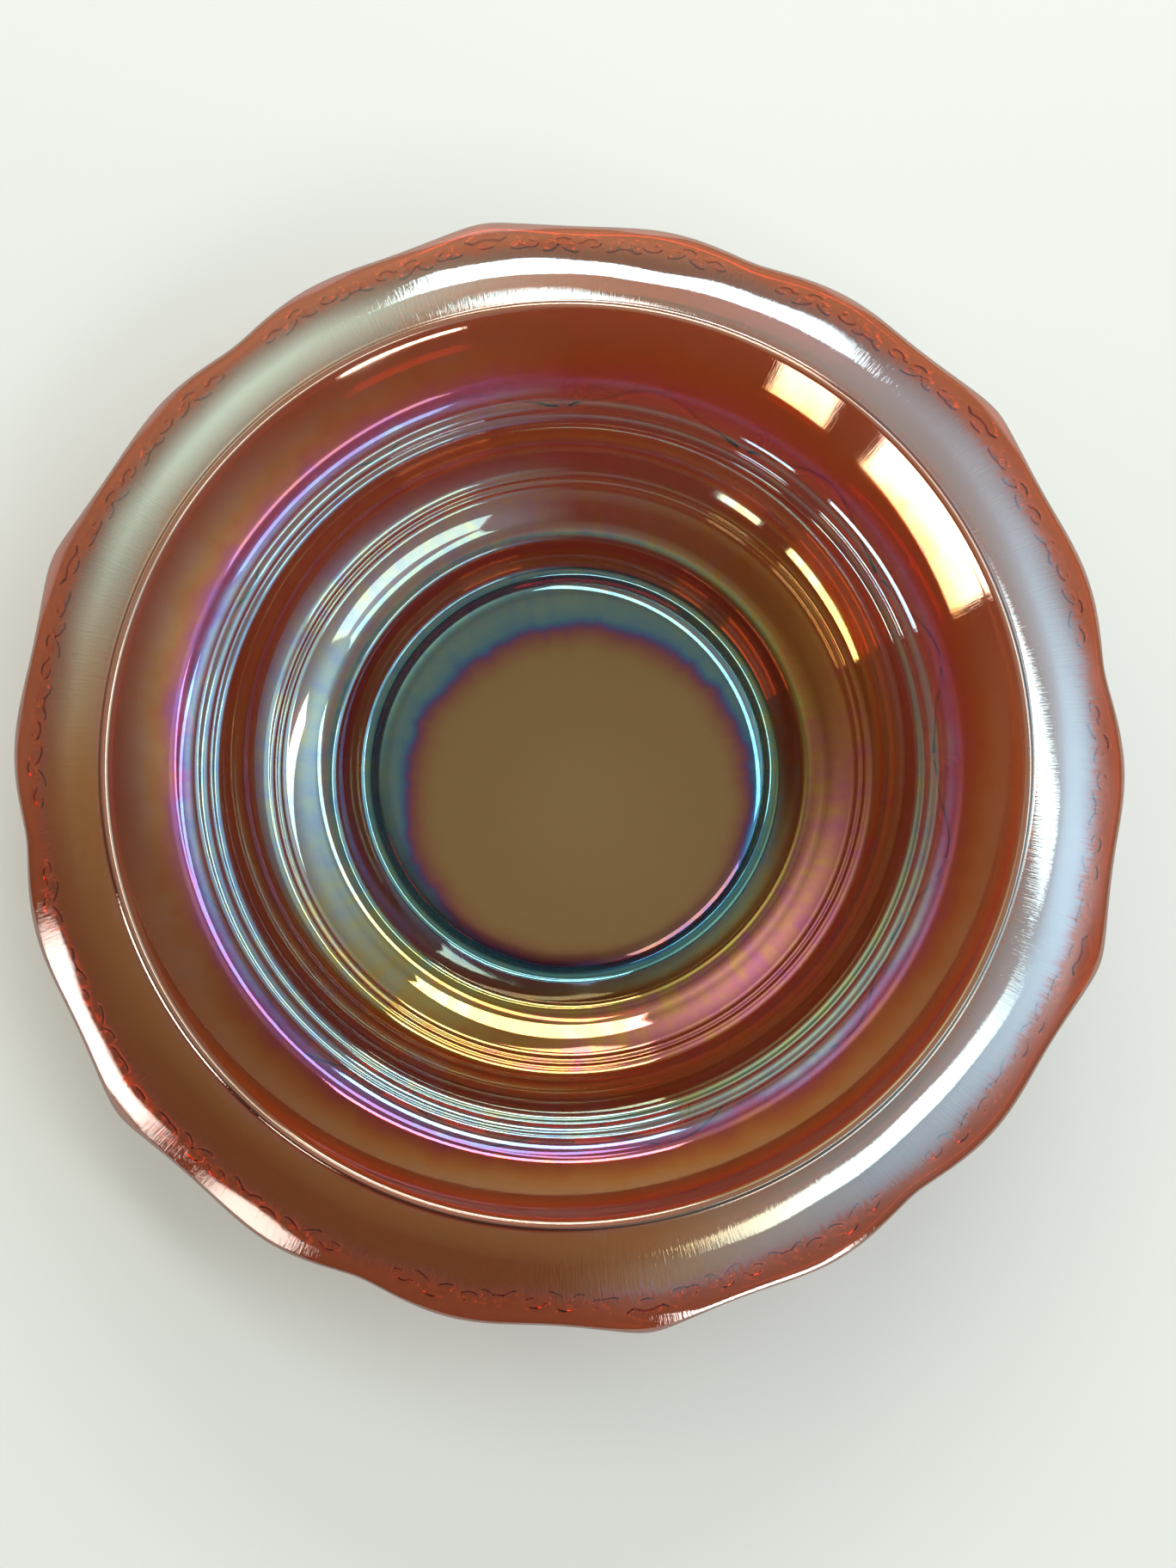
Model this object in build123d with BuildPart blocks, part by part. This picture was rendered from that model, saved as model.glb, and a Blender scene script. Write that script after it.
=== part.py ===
"""Iridescent pressed-glass bowl with a stepped wall and a flared, scalloped flange.

The real bowl is one piece of pressed amber glass with a metallic lustre fired on to its upper
face. It is modelled as those two things: the glass, and the lustre film as a thin skin on it.

Frame: millimetres, +Z up, origin at the centre of the circle that the foot stands on.
One of the six points of the rim is on +X.
"""

import os
from math import cos, radians, sin, sqrt, tan

from build123d import *

# ---- driving dimensions ---------------------------------------------------------------------

# Rim outline, seen from above. Each of the six sectors runs from a notch over a round lobe and
# a shallow dip to a sharp point, and back the same way.
SECTORS = 6
POINT_RADIUS = 142.2           # where the sides of a point would meet; its round tip is at 140
LOBE_RADIUS = 137.7
DIP_RADIUS = 136.3
NOTCH_RADIUS = 134.6
LOBE_ANGLE = 20.0              # degrees from the point, either side
DIP_ANGLE = 9.4
POINT_ROUNDING = 12.0
NOTCH_ROUNDING = 14.0

# Flange: it falls away outward from the ridge in one round bend.
FLANGE_BEND = 62.0
FLANGE_START_SLOPE = 8.0       # degrees below level just outside the ridge
FLANGE_THICKNESS = 3.6
FLANGE_ROOT = (4.0, 0.7)        # run and bulge of the arc where the wall turns into the flange
BLANK_MARGIN = 4.0             # how far the flange reaches past the points before it is cut

# Floor: a flat disc, very slightly domed, raised above the groove around it.
FLOOR_RADIUS = 49.0
FLOOR_HEIGHT = 11.0
FLOOR_DOME = 0.3

# Foot: a low round collar.
FOOT_INNER_RADIUS = 54.0
FOOT_OUTER_RADIUS = 60.0
FOOT_HEIGHT = 4.6
FOOT_ROUNDING = 1.0
FOOT_TAPER = 0.6               # the collar widens by this much from the table up
RECESS_HEIGHT = 5.2            # the underside of the floor above the table
RECESS_DOME = 0.6
RECESS_TAPER = 0.8

FILM_THICKNESS = 0.25          # stands for a lustre that is under a thousandth of a millimetre
FILM_RADIUS = 130.0            # the lustre fades out here, short of the rim

# The inside, walked outward from the floor's edge. Each stretch is one arc:
# (run in radius, slope of its chord in degrees, bulge; a negative bulge is hollow).
INSIDE = [
    (6.3, -15.5, 0.45),        # the floor's edge rolls over
    (3.1, 11.0, -0.55),        # groove round the floor
    (4.6, 54.0, -0.25),        # lowest tier
    (2.8, 33.0, 0.50),         # bead on the lowest tier
    (3.3, 24.0, -0.15),        # ledge
    (7.4, 31.0, 0.30),         # broad sloping band
    (1.6, 36.0, 0.30),         # two fine beads
    (1.7, 40.0, 0.30),
    (8.8, 52.0, -0.50),        # middle tier
    (2.3, 38.0, 0.40),         # two fine beads
    (2.9, 38.0, 0.45),
    (4.6, 38.0, 0.50),         # roll under the top tier
    (11.3, 50.0, -0.45),       # top tier
    (1.4, 23.5, 0.22),         # the ridge rolls over
]

# The outside of the wall, walked outward from the top of the foot. It follows the inside.
OUTSIDE = [
    (1.6, 36.0, -0.20),        # fillet over the foot
    (4.6, 54.0, -0.20),        # lowest tier
    (2.0, 42.0, 0.20),
    (11.7, 31.0, 0.50),        # broad band
    (2.8, 42.0, -0.20),
    (8.8, 52.0, -0.40),        # middle tier
    (8.9, 38.0, 0.50),         # band under the beads
    (9.8, 50.0, -0.50),        # top tier
]


# ---- curves that several profiles share -------------------------------------------------------

def walk(start, stretches):
    """Draw the arcs of a list of stretches, one after another, and return where they end."""
    here = Vector(*start)
    for run, slope, bulge in stretches:
        there = Vector(here.X + run, here.Y + run * tan(radians(slope)))
        SagittaArc(here, there, bulge)
        here = there
    return here


def end_of(start, stretches):
    """Where a walk ends, without drawing it."""
    rise = sum(run * tan(radians(slope)) for run, slope, _ in stretches)
    return Vector(start[0] + sum(run for run, _, _ in stretches), start[1] + rise)


FLOOR_EDGE = (FLOOR_RADIUS, FLOOR_HEIGHT)
FOOT_TOP = (FOOT_OUTER_RADIUS + FOOT_TAPER, FOOT_HEIGHT)
RECESS_EDGE = (FOOT_INNER_RADIUS - RECESS_TAPER, RECESS_HEIGHT)
RIDGE = end_of(FLOOR_EDGE, INSIDE)
BEND_CENTRE = Vector(
    RIDGE.X - FLANGE_BEND * sin(radians(FLANGE_START_SLOPE)),
    RIDGE.Y - FLANGE_BEND * cos(radians(FLANGE_START_SLOPE)),
)
BLANK_RADIUS = POINT_RADIUS + BLANK_MARGIN


def on_flange(radius, depth=0.0):
    """A point on the flange's upper face, or on the face that lies depth below it."""
    bend = FLANGE_BEND - depth
    across = radius - BEND_CENTRE.X
    return Vector(radius, BEND_CENTRE.Y + sqrt(bend**2 - across**2))


def upper_face(radius, drop=0.0):
    """Draw the bowl's upper face from the axis out to a radius on the flange, lowered by drop."""
    down = Vector(0, drop)
    TangentArc(
        Vector(0, FLOOR_HEIGHT + FLOOR_DOME) - down, Vector(*FLOOR_EDGE) - down, tangent=(1, 0)
    )
    edge = walk(Vector(*FLOOR_EDGE) - down, INSIDE)
    RadiusArc(edge, on_flange(radius) - down, FLANGE_BEND)


def at(radius, degrees):
    """A point of the rim outline in polar form."""
    return Vector(radius * cos(radians(degrees)), radius * sin(radians(degrees)))


# ---- the rim outline ----------------------------------------------------------------------------

half_sector = 180.0 / SECTORS
with BuildSketch(Plane.XY) as rim_outline:
    with BuildLine():
        for sector in range(SECTORS):
            point = 2 * half_sector * sector
            for side in (-1, 1):
                notch = at(NOTCH_RADIUS, point + side * half_sector)
                lobe = at(LOBE_RADIUS, point + side * LOBE_ANGLE)
                dip = at(DIP_RADIUS, point + side * DIP_ANGLE)
                round_lobe = ThreePointArc(notch, lobe, dip)
                TangentArc(dip, at(POINT_RADIUS, point), tangent=round_lobe % 1)
    make_face()
    corners = rim_outline.vertices().sort_by(lambda v: Vector(v.X, v.Y).length)
    fillet(corners[-SECTORS:], radius=POINT_ROUNDING)
    corners = rim_outline.vertices().sort_by(lambda v: Vector(v.X, v.Y).length)
    fillet(corners[:SECTORS], radius=NOTCH_ROUNDING)

# ---- glass body: one pressed piece ----------------------------------------------------------------

with BuildPart() as glass_body:
    with BuildSketch(Plane.XZ):
        with BuildLine():
            upper_face(BLANK_RADIUS, drop=FILM_THICKNESS)
            rim_top = on_flange(BLANK_RADIUS) - Vector(0, FILM_THICKNESS)
            rim_foot = on_flange(BLANK_RADIUS, depth=FLANGE_THICKNESS)
            Line(rim_top, rim_foot)
            wall_top = end_of(FOOT_TOP, OUTSIDE)
            flange_root = on_flange(wall_top.X + FLANGE_ROOT[0], depth=FLANGE_THICKNESS)
            RadiusArc(flange_root, rim_foot, FLANGE_BEND - FLANGE_THICKNESS)
            SagittaArc(wall_top, flange_root, FLANGE_ROOT[1])
            walk(FOOT_TOP, OUTSIDE)
            Polyline(FOOT_TOP, (FOOT_OUTER_RADIUS, 0), (FOOT_INNER_RADIUS, 0), RECESS_EDGE)
            TangentArc((0, RECESS_HEIGHT + RECESS_DOME), RECESS_EDGE, tangent=(1, 0))
            Line(
                (0, RECESS_HEIGHT + RECESS_DOME),
                (0, FLOOR_HEIGHT + FLOOR_DOME - FILM_THICKNESS),
            )
        make_face()
    revolve(axis=Axis.Z)
    with BuildSketch(Plane.XY):
        add(rim_outline.sketch)
    extrude(amount=2 * FLANGE_BEND, mode=Mode.INTERSECT)
    foot_edges = glass_body.edges().filter_by(GeomType.CIRCLE).group_by(Axis.Z)[0]
    fillet(foot_edges, radius=FOOT_ROUNDING)

glass_body.part.label = "glass_body"

# ---- lustre film: the iridescent skin on the upper face --------------------------------------------

with BuildPart() as lustre_film:
    with BuildSketch(Plane.XZ):
        with BuildLine():
            down = Vector(0, FILM_THICKNESS)
            upper_face(FILM_RADIUS)
            upper_face(FILM_RADIUS, drop=FILM_THICKNESS)
            Line(on_flange(FILM_RADIUS), on_flange(FILM_RADIUS) - down)
            axis_top = Vector(0, FLOOR_HEIGHT + FLOOR_DOME)
            Line(axis_top, axis_top - down)
        make_face()
    revolve(axis=Axis.Z)

lustre_film.part.label = "lustre_film"

# ---- write the pieces ----------------------------------------------------------------------------

os.makedirs("parts", exist_ok=True)
export_step(glass_body.part, "parts/glass_body.step")
export_step(lustre_film.part, "parts/lustre_film.step")
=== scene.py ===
"""Looks of an iridescent ("carnival") pressed-glass bowl with a stepped wall and a scalloped flange.

One closed mesh stands for the glass and for the lustre that is fired on to its upper face. It is
built ring by ring from the same profile as the CAD part, with the moulded relief under the rim,
the leaf lines on the outside of the wall and the slight waviness of pressed glass added to it.
Lengths are in metres. A profile is a list of points (radius, height) in the plane through the axis.
"""

from math import cos, hypot, pi, radians, sin, tan

import bpy
import numpy as np
from mathutils import Matrix, Vector


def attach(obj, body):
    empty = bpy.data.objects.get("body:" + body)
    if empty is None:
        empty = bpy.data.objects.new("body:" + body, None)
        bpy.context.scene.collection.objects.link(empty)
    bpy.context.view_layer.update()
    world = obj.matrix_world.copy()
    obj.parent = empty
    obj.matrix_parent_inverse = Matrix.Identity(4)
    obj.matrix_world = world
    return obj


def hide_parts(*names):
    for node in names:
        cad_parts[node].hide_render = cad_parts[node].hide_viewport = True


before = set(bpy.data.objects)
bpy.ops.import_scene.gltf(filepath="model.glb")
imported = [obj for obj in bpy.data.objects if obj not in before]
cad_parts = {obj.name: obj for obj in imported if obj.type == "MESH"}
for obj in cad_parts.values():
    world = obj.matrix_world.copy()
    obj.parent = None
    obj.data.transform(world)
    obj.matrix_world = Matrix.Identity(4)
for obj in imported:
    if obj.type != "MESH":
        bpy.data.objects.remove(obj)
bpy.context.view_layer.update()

MM = 0.001

# ---- sizes, as in the CAD part, with a flange 0.1 mm thinner so that it stays inside it ----

SECTORS = 6                    # each with a point in its middle, and a notch at either end
FLOOR = (49.0 * MM, 11.0 * MM)
FLOOR_DOME = 0.3 * MM
FOOT_TOP = (60.6 * MM, 4.6 * MM)
FOOT_RADII = (54.0 * MM, 60.0 * MM)
FOOT_ROUNDING = 1.0 * MM
RECESS_EDGE = (53.2 * MM, 5.2 * MM)
RECESS_DOME = 0.6 * MM
BEND = 62.0 * MM
BEND_START = radians(8.0)
THICKNESS = 3.5 * MM

# (run in mm, slope in degrees, bulge in mm, rings), walked outward; as in the CAD part.
INSIDE = [
    (6.3, -15.5, 0.45, 7),
    (3.1, 11.0, -0.55, 7),
    (4.6, 54.0, -0.25, 6),
    (2.8, 33.0, 0.50, 8),
    (3.3, 24.0, -0.15, 4),
    (7.4, 31.0, 0.30, 7),
    (1.6, 36.0, 0.30, 5),
    (1.7, 40.0, 0.30, 5),
    (8.8, 52.0, -0.50, 10),
    (2.3, 38.0, 0.40, 6),
    (2.9, 38.0, 0.45, 6),
    (4.6, 38.0, 0.50, 7),
    (11.3, 50.0, -0.45, 12),
    (1.4, 23.5, 0.22, 6),
]
OUTSIDE = [
    (1.6, 36.0, -0.20, 4),
    (4.6, 54.0, -0.20, 5),
    (2.0, 42.0, 0.20, 3),
    (11.7, 31.0, 0.50, 9),
    (2.8, 42.0, -0.20, 4),
    (8.8, 52.0, -0.40, 10),
    (8.9, 38.0, 0.50, 36),
    (9.8, 50.0, -0.50, 9),
]
ROOT_RADIUS = 114.8 * MM       # where the outside of the wall has run into the flange's underside
ROOT_BULGE = 0.7 * MM

COARSE = 288                   # steps round the bowl where it is plain
FINE = 1440                    # and where it has relief


def arc(start, end, bulge, steps):
    """Points after start, up to and with end, on the arc whose middle stands bulge to the left."""
    (r0, z0), (r1, z1) = start, end
    chord = hypot(r1 - r0, z1 - z0)
    half_turn = 2 * np.arctan2(2 * abs(bulge), chord)
    if half_turn < 1e-6:
        return [(r0 + (r1 - r0) * i / steps, z0 + (z1 - z0) * i / steps) for i in range(1, steps + 1)]
    radius = chord / 2 / sin(half_turn)
    along = np.array([(r1 - r0) / chord, (z1 - z0) / chord])
    left = np.array([-along[1], along[0]]) * (1 if bulge > 0 else -1)
    middle = np.array([(r0 + r1) / 2, (z0 + z1) / 2])
    centre = middle - left * radius * cos(half_turn)
    points = []
    for i in range(1, steps + 1):
        turn = half_turn * (2 * i / steps - 1)
        points.append(tuple(centre + radius * (along * sin(turn) + left * cos(turn))))
    return points


def walk(start, stretches):
    """Points of a wall made of arcs, from start outward, start included."""
    points = [start]
    for run, slope, bulge, steps in stretches:
        r, z = points[-1]
        end = (r + run * MM, z + run * MM * tan(radians(slope)))
        points += arc(points[-1], end, bulge * MM, steps)
    return points


inside = walk(FLOOR, INSIDE)
RIDGE = inside[-1]
BEND_CENTRE = (RIDGE[0] - BEND * sin(BEND_START), RIDGE[1] - BEND * cos(BEND_START))


def flange_height(radius, depth=0.0):
    """Height of the flange's upper face, or of the face that lies depth below it."""
    return BEND_CENTRE[1] + np.sqrt((BEND - depth) ** 2 - (radius - BEND_CENTRE[0]) ** 2)


def angles(steps):
    """Angles of the steps round the bowl."""
    return 2 * pi * np.arange(steps) / steps


# ---- the rim outline ----

MEAN_RIM = 137.1               # mm, as are the heights of the wave, the point and the notch
WAVE = 0.85
WAVE_TURN = 18                 # degrees of the wave's phase for each degree from the point
POINT = (2.05, 2.5, 2.4)       # height, then rounding and width in degrees
NOTCH = (1.85, 1.8, 5.0)


def rounded_cusp(x, rounding, width):
    """1 at x = 0, falling off to both sides with the given width; its tip is rounded."""
    return np.exp(-(np.sqrt(x * x + rounding * rounding) - rounding) / width)


def rim_radius(angle):
    """Radius of the rim at an angle in radians: six points, twelve lobes and six notches."""
    period = 360 / SECTORS
    from_point = np.abs((np.degrees(angle) + period / 2) % period - period / 2)
    from_notch = period / 2 - from_point
    wave = WAVE * np.cos(np.radians(WAVE_TURN * from_point))
    point = POINT[0] * rounded_cusp(from_point, *POINT[1:])
    notch = NOTCH[0] * rounded_cusp(from_notch, *NOTCH[1:])
    return (MEAN_RIM + wave + point - notch) * MM


# ---- relief ----

SCROLL_SWING = radians(250)
STEM_MIDDLE, STEM_WAVE = 4.5, 2.4       # mm up the wall that the vine's stem runs, and how far it sways


def stroke_height(u, v, strokes):
    """Height, from 0 to 1, of raised strokes at the points (u, v), all in mm.

    A stroke is (list of points, half width); its height falls off smoothly to both sides.
    """
    height = np.zeros_like(u)
    for points, width in strokes:
        path = np.array(points, float)
        for (ax, ay), (bx, by) in zip(path[:-1], path[1:]):
            near = (np.abs(u - (ax + bx) / 2) < abs(bx - ax) / 2 + 3 * width) & (
                np.abs(v - (ay + by) / 2) < abs(by - ay) / 2 + 3 * width
            )
            if not near.any():
                continue
            px, py = u[near] - ax, v[near] - ay
            dx, dy = bx - ax, by - ay
            t = np.clip((px * dx + py * dy) / (dx * dx + dy * dy), 0, 1)
            d2 = (px - t * dx) ** 2 + (py - t * dy) ** 2
            height[near] = np.maximum(height[near], np.exp(-d2 / (width * width)))
    return height


def scroll(x, y, size, turn, hand):
    """A C-scroll as points: an arc that curls tighter towards its end."""
    points = []
    for i in range(13):
        t = i / 12
        swing = radians(turn) + hand * SCROLL_SWING * t
        reach = size * (1 - 0.62 * t)
        points.append((x + reach * cos(swing), y + reach * sin(swing)))
    return points


def leaf(x, y, length, turn):
    """A pointed leaf as the points of its closed outline and its vein."""
    c, s = cos(radians(turn)), sin(radians(turn))
    outline = []
    for i in range(17):
        t = 2 * pi * i / 16
        a = length * (0.5 - 0.5 * cos(t))
        b = length * 0.22 * sin(t) * (1 - 0.35 * cos(t))
        outline.append((x + a * c - b * s, y + a * s + b * c))
    vein = [(x, y), (x + 0.8 * length * c, y + 0.8 * length * s)]
    return outline, vein


def rim_strokes():
    """Strokes of half a sector of the relief under the rim.

    u is the distance along the rim from the point and v the distance in from the rim's edge.
    """
    strokes = []
    for k in range(-4, 5):      # a fan of petals at each point
        spread = 9.5 * k
        foot = (0.35 * k, 8.6)
        near, far = 3.2, 6.2 - 0.18 * abs(k)
        a = (foot[0] + near * sin(radians(spread)), foot[1] - near * cos(radians(spread)))
        b = (foot[0] + far * sin(radians(spread)), foot[1] - far * cos(radians(spread)))
        strokes.append(([a, b], 0.48))
    strokes.append(([(-1.3, 8.9), (0.0, 9.4), (1.3, 8.9)], 0.5))
    for x, y, size, turn, hand in (
        (11.5, 5.6, 3.0, 200, -1),
        (19.5, 4.8, 3.2, 20, -1),
        (27.5, 5.4, 3.0, 190, 1),
        (36.0, 5.0, 3.2, 340, 1),
        (44.0, 5.4, 3.0, 200, -1),
        (52.5, 4.8, 3.0, 20, -1),
        (60.5, 5.6, 2.6, 190, 1),
    ):
        for side in (-1, 1):
            mirrored = [(side * px, py) for px, py in scroll(x, y, size, turn, hand)]
            strokes.append((mirrored, 0.42))
    for x, y, length, turn in (
        (7.0, 9.0, 4.4, -35),
        (15.5, 9.0, 4.6, -60),
        (23.5, 8.8, 4.6, 225),
        (32.0, 8.8, 4.6, -50),
        (40.2, 9.0, 4.6, 235),
        (48.4, 8.8, 4.6, -50),
        (57.0, 9.0, 4.4, 225),
    ):
        for side in (-1, 1):
            for line in leaf(x, y, length, turn):
                strokes.append(([(side * px, py) for px, py in line], 0.36))
    return strokes


def vine_strokes(pitch):
    """Strokes of one repeat of the thin leaf lines on the outside of the wall.

    u runs along the wall over one pitch and v up it, both in mm.
    """
    stem = [(pitch * i / 16, STEM_MIDDLE + STEM_WAVE * sin(2 * pi * i / 16)) for i in range(17)]
    strokes = [(stem, 0.34)]
    for share, length, turn in (
        (0.08, 6.0, 70),
        (0.20, 7.0, 115),
        (0.33, 6.5, -60),
        (0.47, 6.0, -110),
        (0.60, 7.0, 62),
        (0.74, 6.5, 120),
        (0.86, 6.0, -72),
    ):
        x, y = share * pitch, STEM_MIDDLE + STEM_WAVE * sin(2 * pi * share)
        for line in leaf(x, y, length, turn):
            for shift in (-pitch, 0, pitch):
                strokes.append(([(px + shift, py) for px, py in line], 0.30))
    return strokes


# ---- the bowl's rings ----

FLANGE_MAP_START = 118 * MM    # from here out the rings bend towards the scalloped outline
NOMINAL_RIM = 137 * MM
FINE_START = 130 * MM
RELIEF_DEPTH = 9 * MM          # how far in from the edge the relief under the rim reaches
RIM_RELIEF = 0.42 * MM
VINE_RELIEF = 0.45 * MM
VINE_REPEATS = 12
VINE_STRETCH = 6               # the stretch of OUTSIDE that carries the leaf lines
VINE_TALL = 9.0                # mm up the wall in which the leaf lines are drawn
REACH_SCALE = 140 * MM         # the radius at which "reach" is 1
FILM_SHIFT = 8.0 * MM          # the bands of the film lie this much off centre on the floor
FILM_SHIFT_TOWARDS = radians(251)
SHIFT_ENDS = 70 * MM           # and are centred again from this radius out
SHIFT_FADE = 20 * MM


class Bowl:
    """Collects rings of points, each closed round the axis, and joins them into one closed mesh."""

    def __init__(self):
        self.rings = []

    def add(self, radius, height, steps, lustre, raised=0.0):
        """One ring. Radius, height and raised, the share of the relief, may differ by step."""
        even = np.zeros(steps)
        self.rings.append((radius + even, height + even, steps, lustre, raised + even))

    def mesh(self, name, top, bottom):
        """The mesh, closed by a point on the axis at each end, with what the material reads.

        "polar" is the direction from the axis and the way along the profile, "reach" the radius,
        "lustre" is 1 where the film is, and "relief" is how far the relief stands up.
        """
        points, faces, starts, reach, along, lustres, relief = [], [], [], [], [], [], []
        travelled = 0.0
        last = (0.0, top)
        count = 0
        for radius, height, steps, lustre, raised in self.rings:
            angle = angles(steps)
            points.append(np.stack([radius * np.cos(angle), radius * np.sin(angle), height], -1))
            travelled += hypot(radius[0] - last[0], height[0] - last[1])
            last = (radius[0], height[0])
            along.append(np.stack([np.cos(angle), np.sin(angle), np.full(steps, travelled)], -1))
            off_centre = FILM_SHIFT * np.clip((SHIFT_ENDS - radius) / SHIFT_FADE, 0, 1)
            from_x = radius * np.cos(angle) - off_centre * cos(FILM_SHIFT_TOWARDS)
            from_y = radius * np.sin(angle) - off_centre * sin(FILM_SHIFT_TOWARDS)
            reach.append(np.hypot(from_x, from_y) / REACH_SCALE)
            lustres.append(np.full(steps, lustre))
            relief.append(raised)
            starts.append(count)
            count += steps
        for k in range(len(self.rings) - 1):
            n0, n1 = self.rings[k][2], self.rings[k + 1][2]
            faces += ring_faces(starts[k], n0, starts[k + 1], n1)
        points.append(np.array([[0, 0, top], [0, 0, bottom]]))
        along.append(np.array([[1, 0, 0], [1, 0, travelled]]))
        reach.append(np.array([FILM_SHIFT / REACH_SCALE, 0.0]))
        lustres.append(np.array([1.0, 0.0]))
        relief.append(np.zeros(2))
        n0, n1 = self.rings[0][2], self.rings[-1][2]
        faces += [(count, starts[0] + i, starts[0] + (i + 1) % n0) for i in range(n0)]
        faces += [(count + 1, starts[-1] + (i + 1) % n1, starts[-1] + i) for i in range(n1)]
        mesh = bpy.data.meshes.new(name)
        mesh.from_pydata(np.concatenate(points).tolist(), [], faces)
        mesh.polygons.foreach_set("use_smooth", [True] * len(faces))
        layer = mesh.attributes.new("polar", "FLOAT_VECTOR", "POINT")
        layer.data.foreach_set("vector", np.concatenate(along).astype(np.float32).ravel())
        for kind, values in (("reach", reach), ("lustre", lustres), ("relief", relief)):
            layer = mesh.attributes.new(kind, "FLOAT", "POINT")
            layer.data.foreach_set("value", np.concatenate(values).astype(np.float32))
        mesh.update()
        return mesh


def ring_faces(a, n0, b, n1):
    """Faces between two neighbouring rings; the steps of one are a multiple of the other's."""
    if n0 == n1:
        return [(a + i, b + i, b + (i + 1) % n0, a + (i + 1) % n0) for i in range(n0)]
    faces = []
    few, many = min(n0, n1), max(n0, n1)
    each = many // few
    coarse, fine = (a, b) if n0 < n1 else (b, a)
    for i in range(few):
        here, there = coarse + i, coarse + (i + 1) % few
        edge = [fine + (i * each + k) % many for k in range(each + 1)]
        middle = each // 2
        made = [(here, edge[k], edge[k + 1]) for k in range(middle)]
        made += [(here, edge[middle], there)]
        made += [(there, edge[k], edge[k + 1]) for k in range(middle, each)]
        faces += made if n0 < n1 else [face[::-1] for face in made]
    return faces


def waviness(radius, angle):
    """The slight unevenness of the flange of a pressed bowl."""
    rise = np.clip((radius - 113 * MM) / (20 * MM), 0, 1) ** 1.5
    wave = 0.30 * np.cos(6 * angle) + 0.14 * np.cos(12 * angle + 0.5)
    wave = wave + 0.16 * np.sin(5 * angle + 1.1)
    ripple = 0.05 * np.sin(23 * angle + 0.4) + 0.04 * np.sin(31 * angle + 2.0 + radius * 300)
    return rise * (wave + ripple) * MM


def flange_slope(radius, depth=0.0):
    """Sine and cosine of how steeply the flange falls at a radius."""
    s = (radius - BEND_CENTRE[0]) / (BEND - depth)
    return s, np.sqrt(1 - s * s)


CREST_STEPS = (0.12, 0.25, 0.4, 0.6, 0.8, 1.0, 1.25, 1.6, 2.1, 2.8)   # mm out from the ridge
CREST_PROUD = 0.42 * MM        # how far the crest of the ridge stands above the flange beside it
CREST_WIDTH = 1.2 * MM
CREST_FADE = 9.0 * MM
FLOOR_STEPS = (0.04, 0.10, 0.18, 0.27, 0.36, 0.45, 0.54, 0.63, 0.72, 0.81, 0.9, 0.96, 1.0)
RECESS_STEPS = (0.99, 0.94, 0.8, 0.6, 0.4, 0.2, 0.05)
HALF = THICKNESS / 2


def crest_drop(radius):
    """The flange starts a little below the crest of the ridge, which so reads as a fine bead."""
    past = radius - RIDGE[0]
    rise = np.clip(past / CREST_WIDTH, 0, 1)
    return CREST_PROUD * rise * rise * (3 - 2 * rise) * np.clip(1 - past / CREST_FADE, 0, 1)


def top_edge(steps):
    """Radius at which the flange's upper face turns over into the rounded rim."""
    edge = rim_radius(angles(steps))
    s, _ = flange_slope(edge)
    return edge - HALF * (1 - s)


def spread(nominal, outer):
    """A ring's radius: round near the ridge, and shaped like the outline near the rim."""
    share = np.clip((nominal - FLANGE_MAP_START) / (NOMINAL_RIM - FLANGE_MAP_START), 0, 1)
    return nominal + share * (outer - NOMINAL_RIM)


def add_inside(bowl):
    """The floor and the inside of the wall."""
    for share in FLOOR_STEPS:
        bowl.add(share * FLOOR[0], FLOOR[1] + FLOOR_DOME * (1 - share**2), COARSE, 1.0)
    for r, z in inside[1:]:
        bowl.add(r, z, COARSE, 1.0)


def add_flange_top(bowl):
    """The upper face of the flange, from the ridge out."""
    for past in CREST_STEPS:
        radius = RIDGE[0] + past * MM
        bowl.add(radius, flange_height(radius) - crest_drop(radius), COARSE, 1.0)
    for nominal in np.linspace(radius, FINE_START, 13)[1:]:
        radius = spread(nominal, top_edge(COARSE))
        height = flange_height(radius) - crest_drop(radius) + waviness(radius, angles(COARSE))
        bowl.add(radius, height, COARSE, 1.0)
    for nominal in np.linspace(FINE_START, NOMINAL_RIM, 9)[1:]:
        radius = spread(nominal, top_edge(FINE))
        bowl.add(radius, flange_height(radius) + waviness(radius, angles(FINE)), FINE, 1.0)


def add_rim(bowl):
    """The rounded rim, over which the lustre fades out; gives the radius of its lower edge."""
    edge = top_edge(FINE)
    s, c = flange_slope(edge)
    z = flange_height(edge) + waviness(edge, angles(FINE))
    centre_r, centre_z = edge - HALF * s, z - HALF * c
    for turn in np.linspace(0, pi, 11)[1:]:
        radius = centre_r + HALF * (s * cos(turn) + c * sin(turn))
        height = centre_z + HALF * (c * cos(turn) - s * sin(turn))
        bowl.add(radius, height, FINE, max(0.0, 1 - turn / (pi / 2)))
    return edge - 2 * HALF * s


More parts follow.
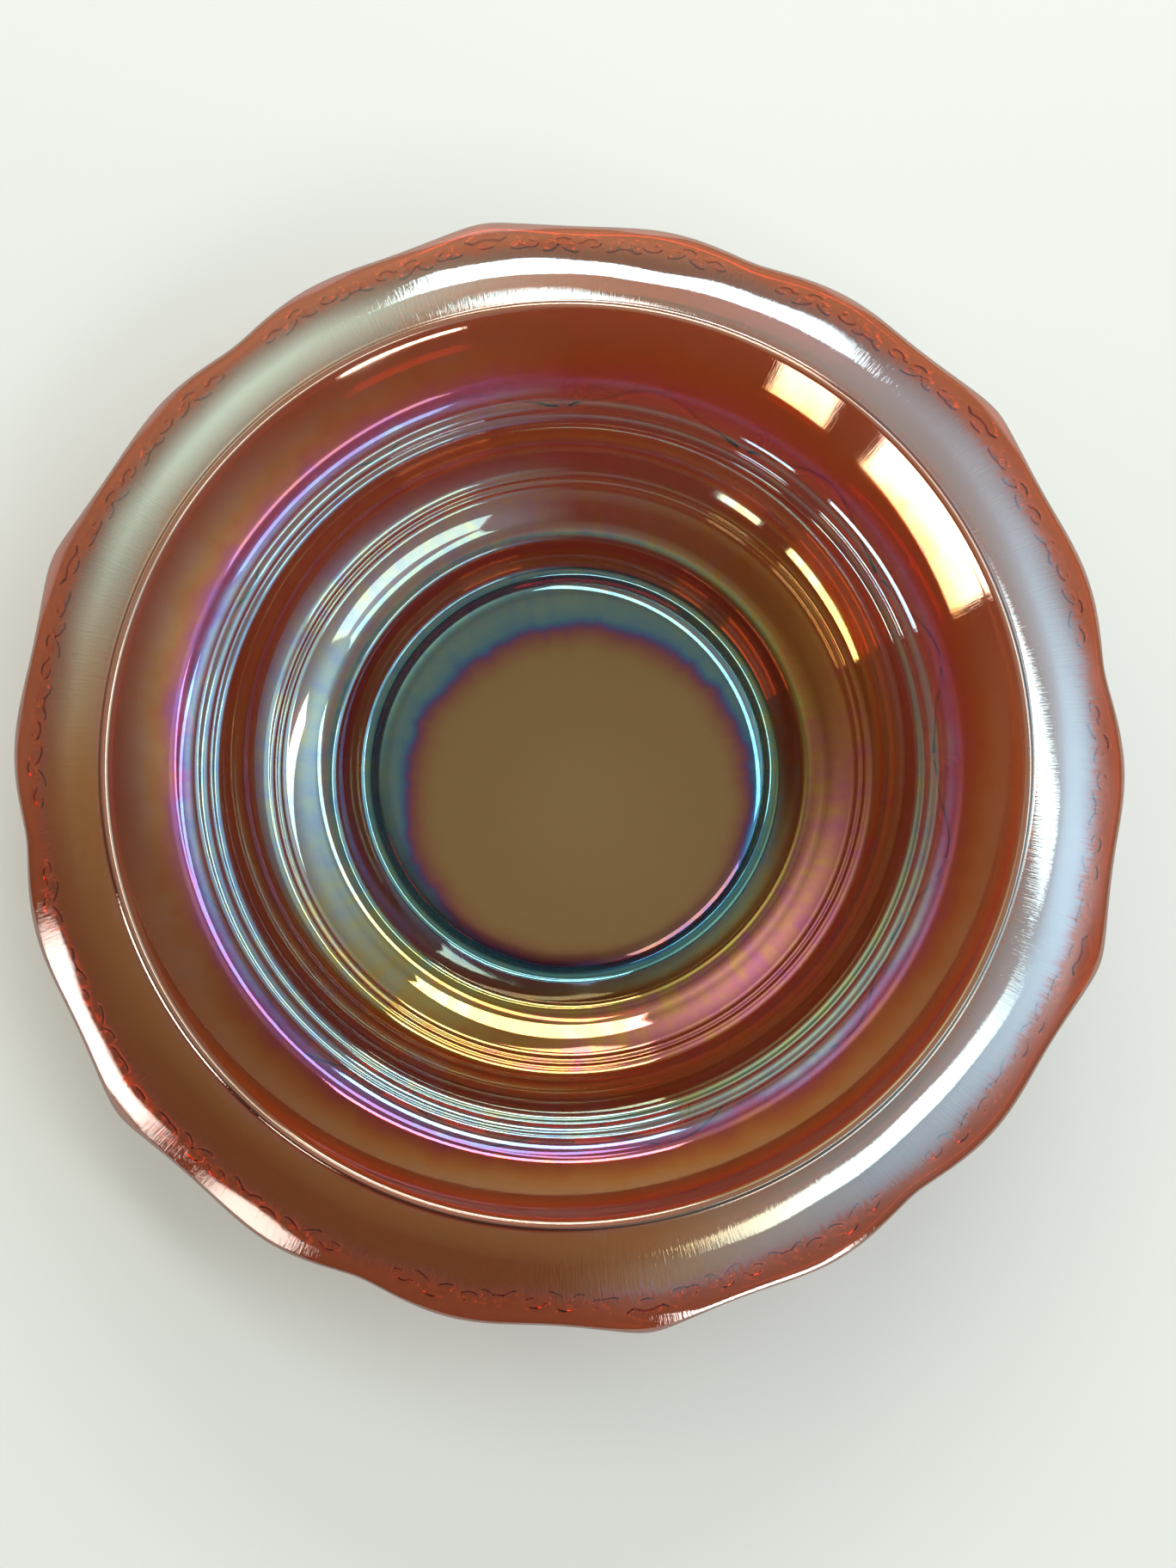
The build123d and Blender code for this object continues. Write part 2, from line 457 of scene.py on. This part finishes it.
def add_flange_underside(bowl, under_edge):
    """First the band with the relief, then the plain rest, up to the wall."""
    theta = angles(FINE)
    sector = 2 * pi / SECTORS
    from_point = (theta + sector / 2) % sector - sector / 2
    u = from_point * under_edge / MM
    strokes = rim_strokes()
    for inward in np.linspace(0, RELIEF_DEPTH, 27)[1:]:
        radius = under_edge - inward
        s, c = flange_slope(radius, THICKNESS)
        v = inward / MM
        fade = np.clip(v / 0.8, 0, 1) * np.clip((RELIEF_DEPTH / MM - v) / 0.8, 0, 1)
        share = fade * stroke_height(u, np.full(FINE, v * 1.3 + 0.6), strokes)
        height = flange_height(radius, THICKNESS) + waviness(radius, theta)
        raised = RIM_RELIEF * share
        bowl.add(radius - raised * s, height - raised * c, FINE, 0.0, share)
    theta = angles(COARSE)
    edge = top_edge(COARSE)
    outer = (edge - THICKNESS * flange_slope(edge)[0]) - RELIEF_DEPTH
    for share in np.linspace(0, 1, 12)[1:-1]:
        radius = outer + (ROOT_RADIUS - outer) * share
        height = flange_height(radius, THICKNESS) + waviness(radius, theta)
        bowl.add(radius, height, COARSE, 0.0)


def add_outside(bowl):
    """The outside of the wall, from the flange down to the foot, with its leaf lines."""
    outside = walk(FOOT_TOP, OUTSIDE)
    root = (ROOT_RADIUS, flange_height(ROOT_RADIUS, THICKNESS))
    outside += arc(outside[-1], root, ROOT_BULGE, 7)
    firsts = np.cumsum([0] + [steps for *_, steps in OUTSIDE])
    vine_range = range(firsts[VINE_STRETCH], firsts[VINE_STRETCH + 1] + 1)
    low, high = outside[vine_range[0]], outside[vine_range[-1]]
    pitch = 2 * pi * (low[0] + high[0]) / 2 / VINE_REPEATS / MM
    vines = vine_strokes(pitch)
    rise = hypot(high[0] - low[0], high[1] - low[1]) / MM
    u = (angles(FINE) * VINE_REPEATS / (2 * pi) % 1) * pitch
    for k in range(len(outside) - 1, -1, -1):
        r, z = outside[k]
        if k not in vine_range:
            bowl.add(r, z, COARSE, 0.0)
            continue
        ahead, behind = outside[k + 1], outside[k - 1]
        run, climb = ahead[0] - behind[0], ahead[1] - behind[1]
        out_r, out_z = climb / hypot(run, climb), -run / hypot(run, climb)
        v = hypot(r - low[0], z - low[1]) / MM
        fade = np.clip(v, 0, 1) * np.clip(rise - v, 0, 1)
        share = fade * stroke_height(u, np.full(FINE, v * VINE_TALL / rise), vines)
        raised = VINE_RELIEF * share
        bowl.add(r + raised * out_r, z + raised * out_z, FINE, 0.0)


def add_foot(bowl):
    """The collar foot and the recess inside it."""
    inner, outer = FOOT_RADII
    for turn in np.linspace(0, pi / 2, 6):
        r, z = outer - FOOT_ROUNDING * (1 - cos(turn)), FOOT_ROUNDING * (1 - sin(turn))
        bowl.add(r, z, COARSE, 0.0)
    for turn in np.linspace(0, pi / 2, 6):
        r, z = inner + FOOT_ROUNDING * (1 - sin(turn)), FOOT_ROUNDING * (1 - cos(turn))
        bowl.add(r, z, COARSE, 0.0)
    for share in (0.35, 0.7, 0.92):
        r = inner + (RECESS_EDGE[0] - inner) * share
        bowl.add(r, FOOT_ROUNDING + (RECESS_EDGE[1] - FOOT_ROUNDING) * share, COARSE, 0.0)
    for share in RECESS_STEPS:
        z = RECESS_EDGE[1] + RECESS_DOME * (1 - share**2)
        bowl.add(share * RECESS_EDGE[0], z, COARSE, 0.0)


def build_bowl():
    """The whole bowl as one piece, walked from the middle of the floor round to the recess."""
    bowl = Bowl()
    add_inside(bowl)
    add_flange_top(bowl)
    add_flange_underside(bowl, add_rim(bowl))
    add_outside(bowl)
    add_foot(bowl)
    mesh = bowl.mesh("bowl", FLOOR[1] + FLOOR_DOME, RECESS_EDGE[1] + RECESS_DOME)
    piece = bpy.data.objects.new("carnival_glass_bowl", mesh)
    bpy.context.scene.collection.objects.link(piece)
    return piece


# ---- materials ----

class Graph:
    """Makes and joins the nodes of a material or of the world."""

    def __init__(self, tree):
        self.nodes, self.links = tree.nodes, tree.links

    def feed(self, value, socket):
        """A number, a colour or another node's output goes into a socket."""
        if isinstance(value, (int, float)):
            socket.default_value = value
        elif isinstance(value, tuple):
            socket.default_value = (*value, 1)
        else:
            self.links.new(value, socket)

    def ramp(self, source, stops):
        """A colour ramp fed by source; stops are (position, colour or value)."""
        node = self.nodes.new("ShaderNodeValToRGB")
        elements = node.color_ramp.elements
        while len(elements) < len(stops):
            elements.new(0.5)
        for element, (place, colour) in zip(elements, stops):
            element.position = place
            element.color = (*(colour if isinstance(colour, tuple) else [colour] * 3), 1)
        self.links.new(source, node.inputs["Fac"])
        return node.outputs["Color"]

    def noise(self, vector, scale, detail, roughness):
        """Noise on a vector that is first scaled per axis."""
        scaling = self.nodes.new("ShaderNodeVectorMath")
        scaling.operation = "MULTIPLY"
        scaling.inputs[1].default_value = scale
        self.links.new(vector, scaling.inputs[0])
        node = self.nodes.new("ShaderNodeTexNoise")
        node.inputs["Scale"].default_value = 1.0
        node.inputs["Detail"].default_value = detail
        node.inputs["Roughness"].default_value = roughness
        self.links.new(scaling.outputs[0], node.inputs["Vector"])
        return node.outputs["Fac"]

    def maths(self, operation, *values):
        node = self.nodes.new("ShaderNodeMath")
        node.operation = operation
        for socket, value in zip(node.inputs, values):
            self.feed(value, socket)
        return node.outputs[0]

    def mix(self, share, a, b):
        """Colour a, or b where share is 1."""
        node = self.nodes.new("ShaderNodeMix")
        node.data_type = "RGBA"
        for socket, value in ((node.inputs[0], share), (node.inputs[6], a), (node.inputs[7], b)):
            self.feed(value, socket)
        return node.outputs[2]

    def clamp(self, value):
        node = self.nodes.new("ShaderNodeClamp")
        self.links.new(value, node.inputs["Value"])
        return node.outputs[0]

    def dot(self, vector, way):
        """How far a vector goes a given way."""
        node = self.nodes.new("ShaderNodeVectorMath")
        node.operation = "DOT_PRODUCT"
        node.inputs[1].default_value = way
        self.links.new(vector, node.inputs[0])
        return node.outputs["Value"]

    def attribute(self, name, output):
        node = self.nodes.new("ShaderNodeAttribute")
        node.attribute_type = "GEOMETRY"
        node.attribute_name = name
        return node.outputs[output]


FILM_SCALE = 250.0             # nanometres at a ramp value of 1
FILM = [                       # (share of the bowl's radius, thickness in nanometres)
    (0.000, 95),
    (0.285, 98),
    (0.315, 106),
    (0.334, 118),
    (0.342, 131),
    (0.350, 152),
    (0.362, 170),
    (0.430, 186),
    (0.490, 199),
    (0.580, 201),
    (0.612, 188),
    (0.635, 176),
    (0.676, 172),
    (0.690, 146),
    (0.704, 128),
    (0.722, 112),
    (0.750, 88),
    (0.790, 74),
    (0.812, 58),
    (0.902, 50),
    (0.926, 16),
    (1.000, 10),
]
TINT = [                       # (share of the bowl's radius, colour of the lustre itself)
    (0.00, (0.56, 0.53, 0.34)),
    (0.295, (0.52, 0.50, 0.31)),
    (0.330, (0.46, 0.22, 0.30)),
    (0.355, (0.30, 0.36, 0.38)),
    (0.39, (0.38, 0.42, 0.32)),
    (0.44, (0.58, 0.34, 0.15)),
    (0.58, (0.58, 0.25, 0.11)),
    (0.65, (0.50, 0.32, 0.24)),
    (0.70, (0.58, 0.21, 0.20)),
    (0.74, (0.60, 0.25, 0.12)),
    (0.79, (0.64, 0.34, 0.19)),
    (0.925, (0.82, 0.72, 0.64)),
    (1.00, (0.84, 0.74, 0.68)),
]
GILT = 92                      # nanometres of film on the relief, which makes the relief's reflections gold
# Tints of the flange, partly the lustre's own colour and partly a painted reflection: cool over most of
# the flange, warm on the side opposite COOL_SIDE.
COOL_FLANGE = (0.42, 0.70, 0.70)
WARM_FLANGE = (0.62, 0.46, 0.26)
COOL_SIDE = radians(13)        # the side of the bowl where the film on the flange is thinnest and where its tint is a painted cool reflection
THICK_SIDE = radians(-80)      # the side where the film on the sloping band inside is thickest
GLASS_COLOUR = (0.88, 0.46, 0.18)   # of the absorbing glass, with the density below
GLASS_DENSITY = 760.0
BARE_GLASS = ((0.84, 0.62, 0.50), (0.78, 0.52, 0.40))   # where there is no lustre, in two shades
# painted glint: the relief under the rim is coloured near white so that it reads bright
RELIEF_GLINT_COLOUR = (1.0, 0.96, 0.80)
WARM_THICKER = 0.75            # share by which the film is thicker on the warm side of the flange
BAND_THICKER = 0.22            # and on the thick side of the sloping band inside
HAIR_DEPTH = 0.035 * MM        # of the fine streaks left by the spray


def lustre_colour(graph, place, lustre, patches, warmth, on_flange, relief_glint):
    """Colour of the lustre on the upper face and of the bare glass elsewhere. The flange's tint carries
    a painted reflection, cool on one side and warm on the other, and the relief under the rim is
    painted pale as a painted glint.
    """
    tint = graph.ramp(place, TINT)
    # on the flange the tint turns to the painted cool and warm reflection
    tint = graph.mix(on_flange, tint, graph.mix(warmth, COOL_FLANGE, WARM_FLANGE))
    # where the relief under the rim stands up, the bare glass takes the painted glint colour
    bare = graph.mix(relief_glint, graph.mix(patches, *BARE_GLASS), RELIEF_GLINT_COLOUR)
    return graph.mix(lustre, bare, tint)


def film_thickness(graph, place, polar, reach, lustre, warmth, on_flange, relief_glint):
    """Thickness of the film in nanometres."""
    film = graph.ramp(place, [(share, nm / FILM_SCALE) for share, nm in FILM])
    film = graph.maths("MULTIPLY", film, FILM_SCALE)
    thicker = graph.maths("MULTIPLY", graph.maths("MULTIPLY", warmth, on_flange), WARM_THICKER)
    mottle = graph.maths("MULTIPLY_ADD", graph.noise(polar, (16, 16, 120), 5, 0.62), 0.30, -0.15)
    mottled = graph.ramp(reach, [(0.30, 0.12), (0.45, 1.0)])
    uneven = graph.maths("MULTIPLY_ADD", mottle, mottled, 1.0)
    on_band = graph.ramp(place, [(0.39, 0.0), (0.45, 1.0), (0.60, 1.0), (0.66, 0.0)])
    thick_side = graph.dot(polar, (cos(THICK_SIDE), sin(THICK_SIDE), 0))
    band = graph.maths("MULTIPLY", graph.maths("MAXIMUM", thick_side, -0.55), on_band)
    uneven = graph.maths("MULTIPLY_ADD", band, BAND_THICKER, uneven)
    film = graph.maths("MULTIPLY", film, graph.maths("ADD", thicker, uneven))
    gilt = graph.maths("MULTIPLY", relief_glint, GILT)
    return graph.maths("MAXIMUM", graph.maths("MULTIPLY", film, lustre), gilt)


def carnival_glass():
    """Amber glass; the upper face has an interference film whose thickness drifts with radius."""
    material = bpy.data.materials.new("carnival_glass")
    material.use_nodes = True
    graph = Graph(material.node_tree)
    shader = graph.nodes["Principled BSDF"]
    shader.inputs["Transmission Weight"].default_value = 1.0
    shader.inputs["Metallic"].default_value = 0.14
    shader.inputs["IOR"].default_value = 1.52
    shader.inputs["Thin Film IOR"].default_value = 2.1
    body = graph.nodes.new("ShaderNodeVolumeAbsorption")
    body.inputs["Color"].default_value = (*GLASS_COLOUR, 1)
    body.inputs["Density"].default_value = GLASS_DENSITY
    graph.links.new(body.outputs[0], graph.nodes["Material Output"].inputs["Volume"])

    polar, reach = graph.attribute("polar", "Vector"), graph.attribute("reach", "Fac")
    # the relief share carries the painted glint colour and the film on the relief
    lustre, relief_glint = graph.attribute("lustre", "Fac"), graph.attribute("relief", "Fac")
    patches = graph.noise(polar, (4, 4, 40), 4, 0.6)
    hairs = graph.noise(polar, (230, 230, 90), 3, 0.65)

    # where on the maps of film and tint a place reads: its radius, drifting and fringed by the spray
    drift = graph.maths("MULTIPLY_ADD", patches, 0.05, -0.025)
    depth = graph.ramp(reach, [(0.0, 0.0), (0.40, 0.02), (0.78, 0.15), (0.82, 1.0)])
    fringe = graph.maths("MULTIPLY", graph.maths("MULTIPLY_ADD", hairs, 0.07, -0.035), depth)
    place = graph.maths("ADD", reach, graph.maths("ADD", drift, fringe))

    # warmth picks the side of the flange with the painted warm reflection; the rest gets the painted
    # cool one
    cool_side = graph.dot(polar, (cos(COOL_SIDE), sin(COOL_SIDE), 0))
    warmth = graph.clamp(graph.maths("MULTIPLY_ADD", cool_side, -2.6, -0.75))
    on_flange = graph.ramp(place, [(0.795, 0.0), (0.815, 1.0), (0.902, 1.0), (0.926, 0.0)])
    colour = lustre_colour(graph, place, lustre, patches, warmth, on_flange, relief_glint)
    graph.links.new(colour, shader.inputs["Base Color"])
    film = film_thickness(graph, place, polar, reach, lustre, warmth, on_flange, relief_glint)
    graph.links.new(film, shader.inputs["Thin Film Thickness"])
    rough = graph.maths("MAXIMUM", graph.maths("MULTIPLY_ADD", patches, 0.14, -0.035), 0.02)
    graph.links.new(rough, shader.inputs["Roughness"])

    bump = graph.nodes.new("ShaderNodeBump")
    bump.inputs["Strength"].default_value = 1.0
    bump.inputs["Distance"].default_value = HAIR_DEPTH
    graph.links.new(graph.maths("MULTIPLY", hairs, depth), bump.inputs["Height"])
    graph.links.new(bump.outputs[0], shader.inputs["Normal"])
    return material


def floor_material():
    material = bpy.data.materials.new("pale_floor")
    material.use_nodes = True
    shader = material.node_tree.nodes["Principled BSDF"]
    shader.inputs["Base Color"].default_value = (0.80, 0.76, 0.71, 1)
    shader.inputs["Roughness"].default_value = 0.85
    shader.inputs["Specular IOR Level"].default_value = 0.2
    return material


# ---- the set ----

PICTURE_TURN = radians(-38.7)   # the picture's right-hand direction, seen from above, from +X
RIM_HEIGHT = 0.05              # roughly: the height that the lights aim at


def turned(x, y, z):
    """A place given along the picture's right, up and towards the camera, in the bowl's frame."""
    c, s = cos(PICTURE_TURN), sin(PICTURE_TURN)
    return Vector((c * x - s * y, s * x + c * y, z))


def softbox(name, azimuth, elevation, distance, width, height, colour, brightness):
    """A soft light that faces the bowl; azimuth is anticlockwise from the picture's right."""
    data = bpy.data.lights.new(name, "AREA")
    data.shape = "RECTANGLE"
    data.size, data.size_y = width, height
    data.energy = brightness * pi * width * height
    data.color = colour
    lamp = bpy.data.objects.new(name, data)
    a, e = radians(azimuth), radians(elevation)
    lamp.location = turned(
        distance * cos(a) * cos(e), distance * sin(a) * cos(e), distance * sin(e) + RIM_HEIGHT
    )
    aim = Vector((0, 0, RIM_HEIGHT)) - lamp.location
    lamp.rotation_euler = aim.to_track_quat("-Z", "Y").to_euler()
    lamp.visible_camera = False
    bpy.context.scene.collection.objects.link(lamp)


def glow(graph, direction, azimuth, elevation, wide, tall):
    """From 0 to 1: how near a direction is to a soft patch of light on the studio's walls."""
    a = radians(azimuth)
    ahead = graph.dot(direction, turned(cos(a), sin(a), 0))
    across = graph.dot(direction, turned(-sin(a), cos(a), 0))
    up = graph.dot(direction, Vector((0, 0, 1)))
    squares = []
    for value, middle, size in ((across, 0.0, wide), (up, sin(radians(elevation)), tall)):
        offset = graph.maths("MULTIPLY_ADD", value, 1 / size, -middle / size)
        squares.append(graph.maths("MULTIPLY", offset, offset))
    fall = graph.maths("MULTIPLY", graph.maths("ADD", *squares), -1.0)
    in_front = graph.clamp(graph.maths("MULTIPLY", ahead, 4.0))
    return graph.maths("MULTIPLY", graph.maths("EXPONENT", fall), in_front)


SOFTBOXES = (                  # name, azimuth, elevation, distance, width, height, colour, strength
    ("far_window", 84, 27, 1.5, 1.15, 0.30, (0.95, 0.98, 1.0), 14),
    ("high_window", 47, 58, 1.5, 2.10, 0.22, (0.94, 0.98, 1.0), 8),
    ("near_window", 312, 43, 1.5, 0.95, 0.32, (0.94, 1.0, 0.92), 5),
    ("left_window", 206, 7, 1.6, 0.68, 0.36, (1.0, 0.97, 0.92), 12),
    ("left_pane", 231, 7, 1.6, 0.26, 0.32, (1.0, 0.95, 0.88), 9),
    ("low_window", 292, 3, 1.6, 0.52, 0.22, (0.96, 0.98, 1.0), 14),
)
STUDIO_WALL = (                # (height of the direction, colour)
    (0.0, (0.09, 0.08, 0.07)),
    (0.70, (0.16, 0.15, 0.13)),
    (0.92, (0.50, 0.48, 0.42)),
    (1.0, (0.85, 0.84, 0.76)),
)
GLOWS = (                      # (azimuth, elevation, width, height), colour
    ((102, 4, 0.80, 0.17), (1.00, 0.88, 0.60)),
    ((355, 31, 0.64, 0.25), (2.5, 3.5, 4.1)),
    ((130, 33, 0.42, 0.22), (2.5, 3.0, 2.4)),
)
FLOOR_HALF_SIDE = 4.0


def light_the_set():
    for box in SOFTBOXES:
        softbox(*box)
    world = bpy.data.worlds.new("studio")
    bpy.context.scene.world = world
    world.use_nodes = True
    graph = Graph(world.node_tree)
    direction = graph.nodes.new("ShaderNodeTexCoord").outputs["Generated"]
    height = graph.nodes.new("ShaderNodeSeparateXYZ")
    graph.links.new(direction, height.inputs[0])
    sky = graph.ramp(height.outputs["Z"], STUDIO_WALL)
    for patch, colour in GLOWS:
        sky = graph.mix(glow(graph, direction, *patch), sky, colour)
    graph.links.new(sky, graph.nodes["Background"].inputs["Color"])


def add_floor():
    mesh = bpy.data.meshes.new("floor")
    side = FLOOR_HALF_SIDE
    corners = [(-side, -side, 0), (side, -side, 0), (side, side, 0), (-side, side, 0)]
    mesh.from_pydata(corners, [], [(0, 1, 2, 3)])
    mesh.materials.append(floor_material())
    floor = bpy.data.objects.new("floor", mesh)
    bpy.context.scene.collection.objects.link(floor)


def add_camera():
    """Almost straight down, from a little below the picture's middle."""
    data = bpy.data.cameras.new("camera")
    data.lens = 29.1
    data.sensor_width = 36.0
    data.clip_start = 0.01
    camera = bpy.data.objects.new("camera", data)
    place = turned(0.0124, -0.0330, 0.3606)
    target = turned(0.0059, -0.0068, 0.0480)
    back = (place - target).normalized()
    up = turned(0, 1, 0)
    right = up.cross(back).normalized()
    up = back.cross(right)
    camera.matrix_world = Matrix.Translation(place) @ Matrix((right, up, back)).transposed().to_4x4()
    bpy.context.scene.collection.objects.link(camera)
    bpy.context.scene.camera = camera


bowl = build_bowl()
bowl.data.materials.append(carnival_glass())
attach(bowl, "root")
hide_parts("glass_body", "lustre_film")
light_the_set()
add_floor()
add_camera()
bpy.context.scene.view_settings.view_transform = "Standard"
bpy.context.scene.view_settings.exposure = -0.55
